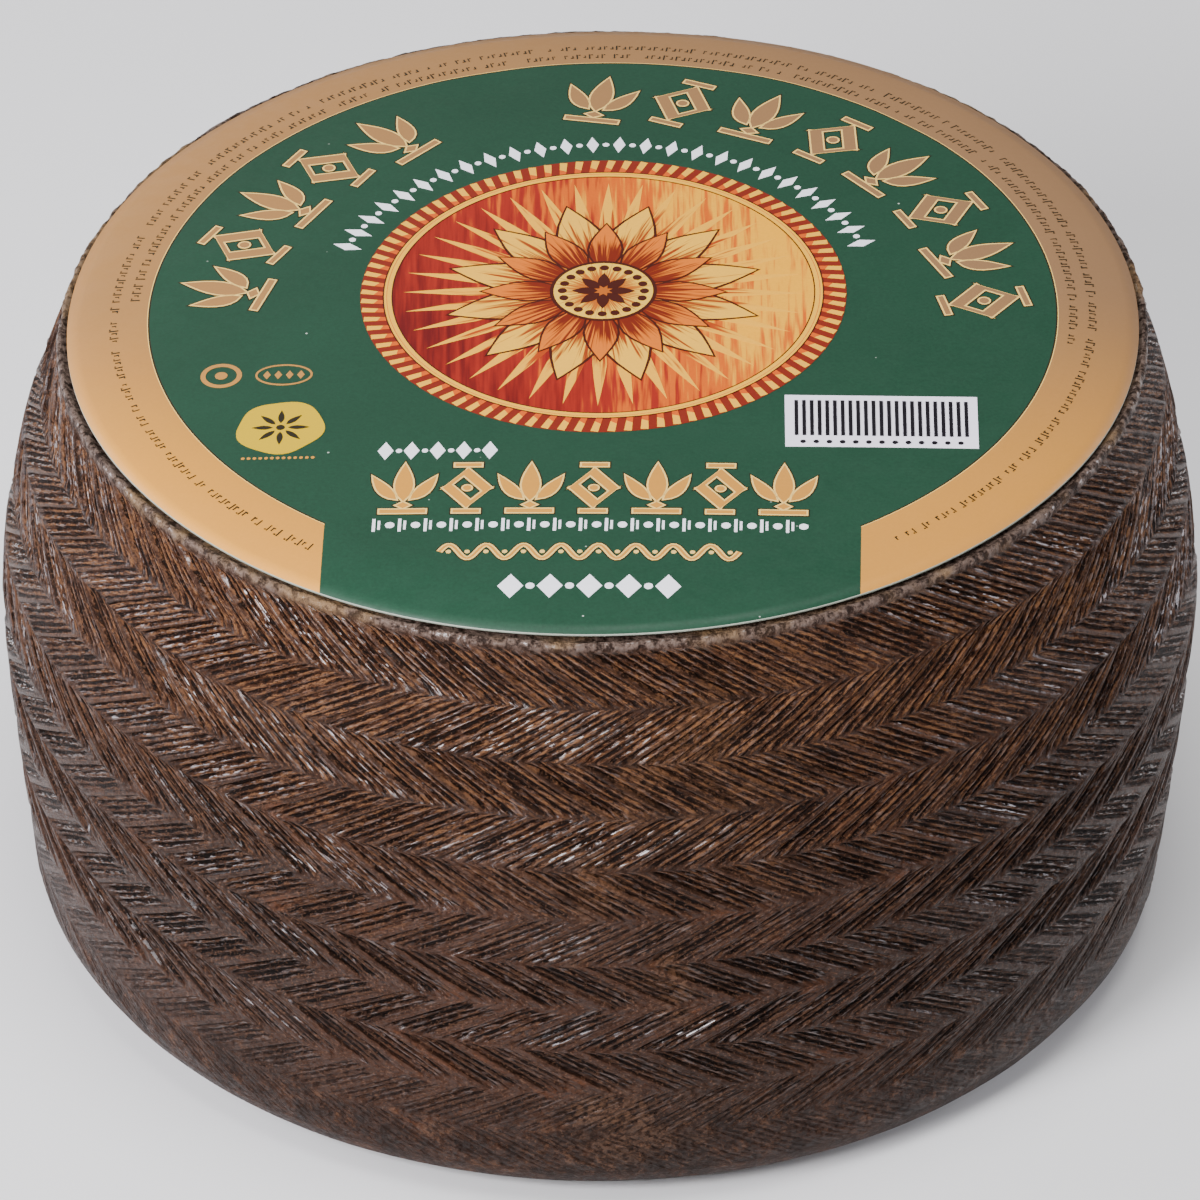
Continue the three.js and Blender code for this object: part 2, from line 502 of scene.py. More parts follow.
def lay_on_label(obj):
    """Takes a flat piece in label millimetres down onto the label's domed face."""
    mesh = obj.data
    flat = np.empty(3 * len(mesh.vertices))
    mesh.vertices.foreach_get("co", flat)
    u, v, rise = flat.reshape(-1, 3).T
    x = u * math.cos(LABEL_TURN) - v * math.sin(LABEL_TURN) + TOP_LEAN
    y = u * math.sin(LABEL_TURN) + v * math.cos(LABEL_TURN)
    placed = np.column_stack((x, y, label_height(x, y) + rise)) * MM
    mesh.vertices.foreach_set("co", placed.ravel())
    mesh.update()
    return obj


def label_circle(radius):
    """A circle on the label. Its points beside the gap lie on the straight ends of the gold ring."""
    gap = math.asin(RING_GAP / radius)
    points = []
    for column in LABEL_COLUMNS:
        beyond = abs(column) - RING_GAP_ANGLE
        if beyond <= 0:
            angle = abs(column) * gap / RING_GAP_ANGLE
        else:
            angle = gap + beyond * (math.pi - gap) / (math.pi - RING_GAP_ANGLE)
        angle = math.copysign(angle, column)
        # The label is round on the uneven wheel, so it swells with it
        reach = radius * float(swell(angle + LABEL_TURN))
        points.append(Vector((reach * math.sin(angle), -reach * math.cos(angle), 0)))
    return points


def make_label(finishes):
    """The paper disc: green, with a gold ring that stops at two straight ends on the reader's side."""
    green, gold, pale, dark, paper = range(5)
    inner, outer = label_circle(RING_INNER), label_circle(LABEL_RADIUS)
    radii = GREEN_RADII + [RING_INNER - width for width in reversed(RING_LINES)]
    rings = [[point * (radius / RING_INNER) for point in inner] for radius in radii] + [inner]
    for step in range(1, GOLD_STEPS + 1):
        rings.append([near.lerp(far, step / GOLD_STEPS) for near, far in zip(inner, outer)])
    bands = [green] * (len(radii) - 2) + [dark, pale] + [gold] * GOLD_STEPS

    count, top = len(LABEL_COLUMNS), len(rings)
    vertices = [Vector((0, 0, 0))] + [point for ring in rings for point in ring]
    down = Vector((0, 0, -LABEL_THICKNESS))
    vertices += [point + down for ring in reversed(rings) for point in ring] + [down]
    faces, inks = [], []
    for column in range(count):
        beside = (column + 1) % count
        middle = (LABEL_COLUMNS[column] + LABEL_COLUMNS[beside]) / 2
        in_gap = abs(middle) < RING_GAP_ANGLE and beside != 0
        faces.append((0, 1 + column, 1 + beside))
        inks.append(green)
        for ring in range(2 * top - 1):
            low, high = 1 + ring * count, 1 + (ring + 1) * count
            faces.append((low + column, high + column, high + beside, low + beside))
            band = bands[ring] if ring < len(bands) else paper
            inks.append(green if in_gap and band != paper else band)
        last = 1 + (2 * top - 1) * count
        faces.append((last + column, len(vertices) - 1, last + beside))
        inks.append(paper)
    label = new_object("label_paper", vertices, (), faces)
    for finish in finishes:
        label.data.materials.append(finish)
    label.data.polygons.foreach_set("material_index", inks)
    label.data.polygons.foreach_set("use_smooth", [True] * len(faces))
    return lay_on_label(label)


# Printed shapes: thin closed films on the label

def plate(name, outlines, high=FILM):
    """A thin closed plate over each outline, which runs anticlockwise.

    It is cut into short triangles, so that it can follow the domed label."""
    vertices, faces = [], []
    for outline in outlines:
        first, count = len(vertices), len(outline)
        vertices += [(u, v, FILM_LOW) for u, v in outline] + [(u, v, high) for u, v in outline]
        faces.append(tuple(first + i for i in reversed(range(count))))
        faces.append(tuple(first + count + i for i in range(count)))
        for i in range(count):
            j = (i + 1) % count
            faces.append((first + i, first + j, first + count + j, first + count + i))
    piece = new_object(name, vertices, (), faces)
    mesh = bmesh.new()
    mesh.from_mesh(piece.data)
    wide = [face for face in mesh.faces if len(face.verts) > 4]
    bmesh.ops.triangulate(mesh, faces=wide, ngon_method="BEAUTY")
    mesh.to_mesh(piece.data)
    mesh.free()
    return piece


def disc_film(name, radii, centre, high, segments=180):
    """A thin closed disc, or a ring if its first radius isn't 0, with a circle of points at each radius."""
    mesh = bmesh.new()
    directions = circle(1, segments)
    layers = []
    for rise in (FILM_LOW, high):
        layer = []
        for radius in radii:
            if radius == 0:
                layer.append([mesh.verts.new((*centre, rise))] * segments)
            else:
                spots = [(centre[0] + radius * c, centre[1] + radius * s, rise) for c, s in directions]
                layer.append([mesh.verts.new(spot) for spot in spots])
        layers.append(layer)

    def face(*corners):
        kept = [corner for i, corner in enumerate(corners) if corner is not corners[i - 1]]
        mesh.faces.new(kept)

    for i in range(segments):
        j = (i + 1) % segments
        for ring in range(len(radii) - 1):
            inner, outer = layers[1][ring], layers[1][ring + 1]
            face(inner[i], outer[i], outer[j], inner[j])
            inner, outer = layers[0][ring], layers[0][ring + 1]
            face(inner[j], outer[j], outer[i], inner[i])
        rim_low, rim_high = layers[0][-1], layers[1][-1]
        face(rim_low[i], rim_low[j], rim_high[j], rim_high[i])
        if radii[0] > 0:
            rim_low, rim_high = layers[0][0], layers[1][0]
            face(rim_low[j], rim_low[i], rim_high[i], rim_high[j])
    piece = new_object(name, ())
    mesh.to_mesh(piece.data)
    mesh.free()
    return piece


def lozenge(width, height):
    return [(width / 2, 0), (0, height / 2), (-width / 2, 0), (0, -height / 2)]


def circle(radius, sides):
    angles = [TURN * i / sides for i in range(sides)]
    return [(radius * math.cos(a), radius * math.sin(a)) for a in angles]


def bead(radius):
    return circle(radius, BEAD_SIDES)


def leaf(length, width, start=0.0, sweep=0.0):
    """A pointed leaf along +u, from start, its tip bent sideways by sweep."""
    shares = [i / LEAF_STEPS for i in range(LEAF_STEPS + 1)]
    spine = [(start + length * t, sweep * t * t) for t in shares]
    half = [width / 2 * math.sin(math.pi * t ** 0.8) for t in shares]
    lower = [(u, v - h) for (u, v), h in zip(spine, half)]
    upper = [(u, v + h) for (u, v), h in zip(spine, half)][1:-1]
    return lower + upper[::-1]


def box_outline(left, right, low, high):
    return [(left, low), (right, low), (right, high), (left, high)]


def grow_outline(outline, margin):
    """The outline with every corner moved out by about margin, for a halo round a shape."""
    points = [Vector(point) for point in outline]
    grown_points = []
    for i, point in enumerate(points):
        before = (point - points[i - 1]).normalized()
        after = (points[(i + 1) % len(points)] - point).normalized()
        normal = Vector((before.y, -before.x)) + Vector((after.y, -after.x))
        reach = margin / max(0.45, normal.length / 2)
        grown_points.append(tuple(point + normal.normalized() * reach))
    return grown_points


def turned(outline, degrees, shift=(0, 0)):
    c, s = math.cos(math.radians(degrees)), math.sin(math.radians(degrees))
    return [(u * c - v * s + shift[0], u * s + v * c + shift[1]) for u, v in outline]


def arc_path(centre, radius, first, last, steps=96):
    """Points along an arc, with its ends in degrees anticlockwise from the label's right."""
    angles = [math.radians(first + (last - first) * i / steps) for i in range(steps + 1)]
    return [(centre[0] + radius * math.cos(a), centre[1] + radius * math.sin(a)) for a in angles]


def motif_tree():
    """Sets copies of a motif out along a path, each turned to run with it."""
    inputs = {"Copies": 10, "Turn": 0.0, "Size change": 0.0, "Gaps": 0.0, "Seed": 3}
    tree, path, given = geometry_tree("motifs along a path", inputs)
    tree.interface.new_socket("Motif", in_out="INPUT", socket_type="NodeSocketObject")
    tree.interface.new_socket("Material", in_out="INPUT", socket_type="NodeSocketMaterial")
    source = next(node for node in tree.nodes if node.bl_idname == "NodeGroupInput")
    curve = new_value(tree, "GeometryNodeMeshToCurve", Mesh=path)
    spaced = new_value(tree, "GeometryNodeResampleCurve", Curve=curve, Count=given["Copies"])
    tangent = new_value(tree, "GeometryNodeInputTangent")
    aligned = new_value(
        tree, "FunctionNodeAlignEulerToVector", {"axis": "X", "pivot_axis": "Z"}, Vector=tangent,
    )
    turned_by = new_value(
        tree, "FunctionNodeRotateEuler", {"space": "LOCAL"},
        Rotation=aligned, Rotate_By=joined(tree, 0.0, 0.0, given["Turn"]),
    )
    motif = Value(tree, source.outputs["Motif"])
    shape = new_value(tree, "GeometryNodeObjectInfo", output="Geometry", Object=motif)

    # A random node's plain number is its output 1, with its limits at inputs 2 and 3
    def random_number(seed):
        return new_value(tree, "FunctionNodeRandomValue", {"data_type": "FLOAT"}, 1, Seed=seed)

    size = random_number(given["Seed"])
    plug(1.0 - given["Size change"], size.socket.node.inputs[2])
    plug(1.0 + given["Size change"], size.socket.node.inputs[3])
    kept = new_value(
        tree, "FunctionNodeCompare", {"data_type": "FLOAT", "operation": "GREATER_EQUAL"},
        A=random_number(given["Seed"] + 20), B=given["Gaps"],
    )
    placed = new_value(
        tree, "GeometryNodeInstanceOnPoints", Points=spaced, Selection=kept, Instance=shape,
        Rotation=turned_by, Scale=joined(tree, size, size, 1.0),
    )
    finish_tree(tree, placed, Value(tree, source.outputs["Material"]))
    return tree


def border(
    name, outlines, path, copies, material,
    closed=False, turn=0.0, size_change=0.0, gaps=0.0, high=FILM, seed=3,
):
    """Copies of a motif along a path on the label."""
    motif = plate(name + "_motif", outlines, high)
    edges = [(i, i + 1) for i in range(len(path) - 1)]
    if closed:
        path = path[:-1]
        edges = [(i, (i + 1) % len(path)) for i in range(len(path))]
    piece = new_object(name, [(u, v, 0) for u, v in path], edges)
    inputs = {
        "Copies": copies, "Turn": turn, "Size change": size_change, "Gaps": gaps, "Seed": seed,
        "Motif": motif, "Material": material,
    }
    grown(piece, MOTIFS, inputs)
    bpy.data.objects.remove(motif)
    return lay_on_label(piece)


def inked(piece, material):
    piece.data.materials.append(material)
    return lay_on_label(piece)


def strip(name, path, width, material, high=FILM):
    """A thin closed band of that width along a path."""
    points = [Vector(point) for point in path]
    vertices, faces = [], []
    for i, point in enumerate(points):
        run = (points[min(i + 1, len(points) - 1)] - points[max(i - 1, 0)]).normalized()
        side = Vector((run.y, -run.x)) * width / 2
        right, left = point + side, point - side
        vertices += [(*right, FILM_LOW), (*right, high), (*left, high), (*left, FILM_LOW)]
    for i in range(len(points) - 1):
        first, second = 4 * i, 4 * (i + 1)
        for j in range(4):
            k = (j + 1) % 4
            faces.append((first + j, second + j, second + k, first + k))
    last = 4 * (len(points) - 1)
    faces += [(0, 1, 2, 3), (last + 3, last + 2, last + 1, last)]
    return inked(new_object(name, vertices, (), faces), material)


def straight(left, right, v, steps=24):
    return [(left + (right - left) * i / steps, v) for i in range(steps + 1)]


def wave(left, right, v, height, length):
    steps = round((right - left) / length * 14)
    spots = [left + (right - left) * i / steps for i in range(steps + 1)]
    return [(u, v + height * math.sin(TURN * (u - left) / length)) for u in spots]


def haloed(name, outlines, path, copies, inks):
    """A border whose motifs have a pale edge and a thin dark outline round it."""
    pieces = []
    for ink, (suffix, margin, high) in zip(inks, HALO_FILMS):
        wide = [grow_outline(points, margin) for points in outlines] if margin else outlines
        pieces.append(border(name + "_" + suffix, wide, path, copies, ink, high=high))
    return pieces


def haloed_strip(name, path, width, inks):
    pieces = []
    for ink, (suffix, margin, high) in zip(inks, HALO_FILMS):
        high -= HALO_STRIP_DROP
        pieces.append(strip(name + "_" + suffix, path, width + 2 * margin, ink, high))
    return pieces


def lily(height, spread):
    """Three petals over a lozenge and a foot, drawn upright about the middle."""
    low = -height / 2
    fork = low + height * 0.24
    petal = leaf(height * 0.55, spread * 0.22, spread * 0.07, height * -0.11)
    mirrored = [(u, -v) for u, v in reversed(petal)]
    return [
        turned(leaf(height * 0.76, spread * 0.30), 90, (0, fork)),
        turned(petal, 134, (-spread * 0.07, fork)),
        turned(mirrored, 46, (spread * 0.07, fork)),
        turned(lozenge(spread * 0.22, height * 0.12), 0, (0, low + height * 0.155)),
        box_outline(-spread * 0.38, spread * 0.38, low, low + height * 0.07),
    ]


def knot(height, spread):
    """An open lozenge with two thick and two thin sides, a bead in it, and a bar at its head and foot."""
    a, b, half = spread * 0.5, height * 0.40, height / 2
    thick, thin = 0.52, 0.18
    inside, slip = 1 - (thick + thin) / 2, (thick - thin) / 2
    outer = [Vector(point) for point in ((a, 0), (0, b), (-a, 0), (0, -b))]
    inner = [Vector(point) for point in ((a * inside, -b * slip), (-a * slip, b * inside))]
    inner += [-point for point in inner]
    sides = []
    for i in range(4):
        j = (i + 1) % 4
        sides.append([tuple(point) for point in (outer[i], outer[j], inner[j], inner[i])])
    bar = spread * 0.27
    return sides + [
        bead(spread * 0.085),
        box_outline(-bar, bar, -half, -half + height * 0.06),
        box_outline(-bar, bar, half - height * 0.06, half),
    ]


def make_ornaments(inks):
    """Everything printed on the green, except the medallion."""
    gold = (inks["dark"], inks["pale"], inks["gold"])
    pieces = []

    def row(name, outlines, path, copies, ink, **choices):
        pieces.append(border(name, outlines, path, copies, inks[ink], **choices))

    # Large gold motifs over the medallion, lilies and knots by turns, in two runs
    for name, outlines, first, last, copies in (
        ("left_lilies", lily(14, 11.5), 175.5, 126.5, 3),
        ("left_knots", knot(14, 9.5), 163.25, 138.75, 2),
        ("right_lilies", lily(14, 11.5), 92.0, 14.86, 4),
        ("right_knots", knot(14, 9.5), 79.14, 2.0, 4),
    ):
        path = arc_path((0, 0), MOTIF_ARC_RADIUS, first, last, steps=180)
        pieces += haloed(name, outlines, path, copies, gold)

    # Bands of small motifs round the medallion and across the front
    for name, outline, first, last, copies in (
        ("white_arc_lozenges", lozenge(2.0, 4.9), 162, 20, 26),
        ("white_arc_dots", bead(0.55), 159.2, 22.8, 25),
    ):
        row(name, [outline], arc_path(MEDALLION, WHITE_ARC_RADIUS, first, last), copies, "white")
    pieces += haloed("front_lilies", lily(12.8, 9.4), straight(-29.7, 29.7, MOTIF_ROW), 4, gold)
    pieces += haloed("front_knots", knot(12.8, 7.6), straight(-19.8, 19.8, MOTIF_ROW), 3, gold)
    row("white_lozenges", [lozenge(2.5, 4.7)], straight(-33.0, -16.6, SHORT_ROW), 5, "white")
    row("white_lozenge_dots", [bead(0.5)], straight(-30.9, -18.6, SHORT_ROW), 4, "white")
    reel = [
        box_outline(-0.25, 0.25, -1.6, 1.6),
        box_outline(0.6, 1.0, -1.1, 1.1),
        turned(bead(0.75), 0, (2.5, 0)),
    ]
    row("white_reel", reel, straight(-34.0, 30.4, REEL_ROW), 17, "white")
    pieces += haloed_strip("gold_wave", wave(-23.5, 23.0, WAVE_ROW, 1.7, 5.8), 0.42, gold)
    row("gold_wave_dots", [bead(0.42)], straight(-22.1, 21.6, WAVE_ROW), 16, "pale", high=0.06)
    row("white_last_lozenges", [lozenge(4.0, 5.6)], straight(-12.2, 12.2, LAST_ROW), 5, "white")
    row("white_last_dots", [bead(0.7)], straight(-9.15, 9.15, LAST_ROW), 4, "white")

    # Two rows of tiny marks round the gold ring, with gaps here and there
    upright = [box_outline(-0.32, -0.12, -0.65, 0.65), box_outline(0.02, 0.3, 0.42, 0.62)]
    low_mark = [box_outline(-0.25, 0.25, -0.5, -0.3), box_outline(0.02, 0.22, -0.3, 0.35)]
    for side, radius, first, last, copies in (
        ("outer", 78.4, 236, -52, 190),
        ("inner", 75.3, 178, -6, 118),
    ):
        for number, outlines in enumerate((upright, low_mark)):
            lag = number * MARK_LAG
            path = arc_path((0, 0), radius, first - lag, last - lag, steps=240)
            name = f"ring_marks_{side}_{number}"
            row(name, outlines, path, copies, "dark", size_change=0.22, gaps=0.16, seed=number)

    # White panel with even stripes and a row of dots
    panel = turned(box_outline(-15.2, 15.2, -6.9, 6.9), PANEL_TURN, PANEL_MIDDLE)
    pieces.append(inked(plate("panel", [panel], 0.08), inks["panel"]))
    for name, outline, half, v, copies in (
        ("panel_stripes", box_outline(-0.3, 0.3, -4.4, 5.0), 13.4, 0.5, 23),
        ("panel_dots", bead(0.45), 12.4, -5.6, 13),
    ):
        path = [turned([point], PANEL_TURN, PANEL_MIDDLE)[0] for point in straight(-half, half, v)]
        row(name, [outline], path, copies, "black", high=0.1)

    # Yellow badge with a sprig
    lobes = []
    for a in [TURN * i / BADGE_SIDES for i in range(BADGE_SIDES)]:
        reach = 6.9 + 0.25 * math.cos(5 * a + 1) + 0.2 * math.sin(2 * a)
        lobes.append(tuple(BADGE_MIDDLE + Vector((math.cos(a), math.sin(a))) * reach))
    pieces.append(inked(plate("badge", [lobes], 0.07), inks["yellow"]))
    sprig = [turned(leaf(3.4, 1.0, 1.2), angle, BADGE_MIDDLE) for angle in range(0, 360, 45)]
    sprig.append(turned(bead(0.7), 0, BADGE_MIDDLE))
    pieces.append(inked(plate("badge_sprig", sprig, 0.085), inks["dark"]))
    row("badge_dots", [bead(0.3)], straight(-55.4, -44.4, -42.3), 13, "gold")

    # Small ring with a dot, and an oval with lozenges
    for name, radii in (("small_ring", [2.5, 3.3]), ("small_ring_dot", [0, 1.0])):
        pieces.append(inked(disc_film(name, radii, SMALL_RING_MIDDLE, FILM, SMALL_SIDES), inks["gold"]))
    u, v = OVAL_MIDDLE
    angles = [TURN * i / SMALL_SIDES for i in range(SMALL_SIDES + 1)]
    oval = [(u + 4.4 * math.cos(a), v + 2.7 * math.sin(a)) for a in angles]
    pieces.append(strip("oval", oval, 0.35, inks["gold"]))
    row("oval_lozenges", [lozenge(1.2, 2.3)], straight(u - 2.7, u + 2.7, v), 4, "gold")
    return pieces


def make_medallion(inks):
    """Round picture in a rope border: a rosette over an engraved ground."""
    pieces = []

    def disc(name, radii, ink, high, segments=180):
        pieces.append(inked(disc_film(name, radii, MEDALLION, high, segments), inks[ink]))

    def round_border(name, outline, radius, copies, ink, high, turn=0.0, shift=0.0):
        path = arc_path(MEDALLION, radius, shift, shift + 360, steps=240)
        pieces.append(border(name, [outline], path, copies, inks[ink], closed=True, turn=turn, high=high))

    disc("rope_ground", [35.2, 37.1, MEDALLION_RADIUS], "rope", high=0.05)
    tick = [(-1.75, -0.62), (1.85, -0.5), (1.85, 0.5), (-1.75, 0.62)]
    tip = [(0.4, -0.56), (1.85, -0.5), (1.85, 0.5), (0.9, 0.54)]
    lean = math.radians(78)
    round_border("rope_ticks", tick, 37.15, 92, "rope_yellow", high=0.065, turn=lean)
    round_border("rope_tick_ends", tip, 37.15, 92, "rope_orange", high=0.08, turn=lean)
    disc("yellow_ring", [33.9, 35.3], "rope_yellow", high=0.08)
    disc("ring_line_outer", [35.2, 35.42], "petal_line", high=0.09)
    disc("ring_line_inner", [33.8, 34.0], "petal_line", high=0.09)
    disc("ring_line_middle", [34.72, 34.8], "rope_orange", high=0.09)
    disc("field", [0, 6, 12, 18, 24, 29, 34.0], "field", high=0.06)

    # Leaves of the rosette, each ring over the last: length, width and start, then its place
    for name, shape, radius, copies, ink, high, shift in (
        ("rays", (27, 2.6, 0), 5, 36, "ray", 0.075, 0),
        ("outer_petals", (19, 8.2, 0), 7, 12, "petal_line", 0.09, 15),
        ("outer_petal_faces", (18, 7.2, 0.4), 7, 12, "petal", 0.105, 15),
        ("inner_petals", (14, 6.0, 0), 6, 12, "petal_line", 0.12, 0),
        ("inner_petal_faces", (13.2, 5.2, 0.3), 6, 12, "inner_petal", 0.135, 0),
    ):
        round_border(name, leaf(*shape), radius, copies, ink, high, turn=OUTWARD, shift=shift)
    disc("boss_outline", [0, 4, 8.6], "petal_line", high=0.15, segments=64)
    disc("boss", [0, 4, 8.0], "boss", high=0.165, segments=64)
    round_border("boss_beads", bead(0.75), 6.6, 20, "petal_line", high=0.18)
    round_border("boss_petals", leaf(4.2, 2.0), 0.9, 8, "petal_line", high=0.18, turn=OUTWARD)
    return pieces


# Finishes

def srgb(red, green, blue):
    """A linear colour from eight-bit screen values."""
    shares = [value / 255 for value in (red, green, blue)]
    return tuple(v / 12.92 if v <= 0.04045 else ((v + 0.055) / 1.055) ** 2.4 for v in shares)


def new_material(name, color, roughness):
    material = bpy.data.materials.new(name)
    material.use_nodes = True
    tree = material.node_tree
    shader = tree.nodes["Principled BSDF"]
    shader.inputs["Base Color"].default_value = (*color, 1)
    shader.inputs["Roughness"].default_value = roughness
    return material, tree, shader


def attribute(tree, name, output="Fac"):
    return new_value(tree, "ShaderNodeAttribute", {"attribute_name": name}, output)


def object_place(tree):
    return new_value(tree, "ShaderNodeTexCoord", output="Object")


def blended(tree, factor, first, second, mode="MIX"):
    """Colour from first to second as factor runs from 0 to 1. Either may be a tuple."""
    node = tree.nodes.new("ShaderNodeMix")
    node.data_type = "RGBA"
    node.blend_type = mode
    plug(factor, node.inputs[0])
    for value, socket in zip((first, second), (node.inputs[6], node.inputs[7])):
        plug(value if isinstance(value, Value) else (*value, 1), socket)
    return Value(tree, node.outputs[2])


def painted(color, *layers):
    """The colour with other colours laid over it in turn, each given as its share and the colour."""
    for share, ink in layers:
        color = blended(share.tree, share, color, ink)
    return color


def bumped(height, strength, distance):
    return new_value(height.tree, "ShaderNodeBump", Strength=strength, Distance=distance, Height=height)


def printed_paper_group():
    """Ink on satin paper: mottled ink, pale specks, a soft varnish and the paper's fibre."""
    tree = bpy.data.node_groups.new("printed paper", "ShaderNodeTree")
    for name, way, kind in (
        ("Ink", "INPUT", "Color"),
        ("Mottle", "INPUT", "Float"),
        ("Specks", "INPUT", "Float"),
        ("Color", "OUTPUT", "Color"),
        ("Roughness", "OUTPUT", "Float"),
        ("Normal", "OUTPUT", "Vector"),
    ):
        tree.interface.new_socket(name, in_out=way, socket_type="NodeSocket" + kind)
    source = tree.nodes.new("NodeGroupInput")
    ink, mottle, specks = (Value(tree, source.outputs[name]) for name in ("Ink", "Mottle", "Specks"))
    place = object_place(tree)
    fine = noise(place, 1900.0, 3.0, 0.7)
    broad = noise(place, 45.0, 2.0)
    light = 1 + (fine - 0.5) * mottle * 2.2 + (broad - 0.5) * mottle * 0.8
    grey = joined(tree, light, light, light)
    mottled = blended(tree, 1.0, ink, grey, "MULTIPLY")
    cells = new_value(tree, "ShaderNodeTexVoronoi", output="Distance", Vector=place, Scale=210.0)
    speck = cells.ramp(0.02, 0.05, 1.0, 0.0) * noise(place, 90.0).ramp(0.52, 0.6)
    color = painted(mottled, (speck * specks, (0.62, 0.68, 0.6)))
    roughness = noise(place, 300.0, 3.0).ramp(0.3, 0.7, 0.42, 0.54)
    fibre = noise(place, 650.0, 4.0, 0.6)
    normal = bumped(fibre, 0.12, 0.0001)
    out = tree.nodes.new("NodeGroupOutput")
    for value, name in ((color, "Color"), (roughness, "Roughness"), (normal, "Normal")):
        plug(value, out.inputs[name])
    return tree


def printed(name, ink, mottle, specks=0.0):
    """Finish of one printed ink: a screen colour, or a function that works its colour out in the tree."""
    material, tree, shader = new_material(name, (0.5, 0.5, 0.5), 0.4)
    group = tree.nodes.new("ShaderNodeGroup")
    group.node_tree = PRINTED_PAPER
    color = ink(tree) if callable(ink) else (*srgb(*ink), 1)
    for socket, value in (("Ink", color), ("Mottle", mottle), ("Specks", specks)):
        plug(value, group.inputs[socket])
    for output, socket in (("Color", "Base Color"), ("Roughness", "Roughness"), ("Normal", "Normal")):
        tree.links.new(group.outputs[output], shader.inputs[socket])
    shader.inputs["Specular IOR Level"].default_value = 0.22
    return material


def engraved(light, dark, near, far):
    """An ink with fine engraved lines that run out from the medallion's middle, in two screen colours.

    It is darker near the middle, and clears from the radius near to the radius far, in millimetres."""
    def ink(tree):
        x, y, _ = split(object_place(tree))
        u, v = x - (MEDALLION[0] + TOP_LEAN) * MM, y - MEDALLION[1] * MM
        radius = (u * u + v * v).math("SQRT")
        bearing = u.math("ARCTAN2", v)
        streaks = noise(joined(tree, bearing * ENGRAVED_LINES, radius * 70.0, 0.0), 1.0, 2.0, 0.6)
        shade = radius.ramp(near * MM, far * MM, 0.30, -0.22, smooth=False)
        return blended(tree, (streaks + shade).ramp(0.44, 0.6), srgb(*light), srgb(*dark))
    return ink


def field_ink(tree):
    """The medallion's ground: dark red at the left, golden at the right, with upright streaks between."""
    u, v, _ = split(object_place(tree))
    broad = noise(joined(tree, u, v, 0.0), 60.0, 2.0) - 0.5
    lines = noise(joined(tree, u * 900.0, v * 60.0, 0.0), 1.0, 2.0, 0.6) - 0.5
    side = u * 17.0 + v * 5.0 + broad * 0.5 + lines * 1.5 + 0.42
    return painted(
        srgb(96, 12, 14),
        (side.ramp(-0.4, 0.3), srgb(150, 34, 20)),
        (side.ramp(0.25, 0.55), srgb(206, 92, 8)),
        (side.ramp(0.6, 0.95), srgb(240, 168, 24)),
    )


def gold_ink_with_painted_light(tree):
    """The gold, with painted light: it is lighter at the front and at the left."""
    x, y, _ = split(object_place(tree))
    # Painted light: the gold is lightened towards the front and the left
    light = y.ramp(-0.055, 0.01, 0.8, 0.0) + x.ramp(-0.085, 0.085, 0.3, 0.0)
    return blended(tree, light, srgb(137, 104, 72), srgb(203, 140, 52))


def make_inks():
    """The finishes of everything printed on the label: name, ink, how mottled it is, and its specks."""
    inks = {
        "green": ("green ink", (29, 64, 46), 0.3, 0.8),
        "gold": ("gold ink", gold_ink_with_painted_light, 0.06),
        "pale": ("pale gold ink", (236, 196, 110), 0.05),
        "white": ("white ink", (246, 246, 252), 0.02),
        "panel": ("panel white ink", (244, 240, 252), 0.02),
        "black": ("black ink", (16, 12, 20), 0.03),
        "dark": ("dark ink", (38, 32, 18), 0.05),
        "paper": ("paper", (150, 156, 142), 0.05),
        "yellow": ("badge yellow ink", (204, 168, 0), 0.02),
        "rope": ("rope red ink", (122, 34, 18), 0.15),
        "rope_orange": ("rope orange ink", (206, 88, 14), 0.12),
        "rope_yellow": ("rope yellow ink", (240, 176, 44), 0.08),
        "field": ("medallion ground", field_ink, 0.1),
        "petal_line": ("petal outline ink", (64, 18, 8), 0.06),
        "ray": ("ray ink", engraved((240, 172, 40), (170, 62, 10), 6, 30), 0.08),
        "petal": ("petal gold ink", engraved((240, 180, 52), (150, 56, 12), 6, 24), 0.08),
        "inner_petal": ("petal orange ink", engraved((216, 112, 20), (112, 30, 8), 5, 20), 0.08),
        "boss": ("boss gold ink", engraved((240, 190, 60), (180, 92, 20), 1, 9), 0.08),
    }
    return {key: printed(*ink) for key, ink in inks.items()}


